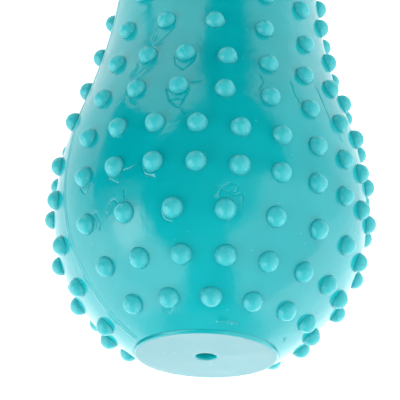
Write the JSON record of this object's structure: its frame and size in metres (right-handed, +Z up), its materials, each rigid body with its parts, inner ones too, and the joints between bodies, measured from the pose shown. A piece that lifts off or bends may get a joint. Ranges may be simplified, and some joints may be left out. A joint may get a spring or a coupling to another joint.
{
  "type": "double-ended massage ball",
  "caption": "Hollow soft massage ball with two bulbs joined by a waist, rows of round nubs all over, and a flat end disc with an inflation hole.",
  "frame": {"origin": "on the floor under the middle of the ball, at the centre of the bottom of its bounding box", "axes": "+Z up, the ball's long axis along Y, the end disc with the inflation hole facing -Y; the ball lies on two nubs of each bulb"},
  "size_m": [0.0734, 0.2014, 0.073],
  "materials": {
    "shell": "glossy translucent soft PVC, teal",
    "end_disc": "glossy translucent soft PVC, teal, a little smoother than the shell",
    "valve_housing": "plain soft PVC, dark teal",
    "valve_core": "dark self-sealing rubber"
  },
  "bodies": {
    "root": {"shell": "shell", "front_end_disc": "end_disc", "rear_end_disc": "end_disc", "valve_housing": "valve_housing", "valve_core": "valve_core"}
  },
  "joints": []
}
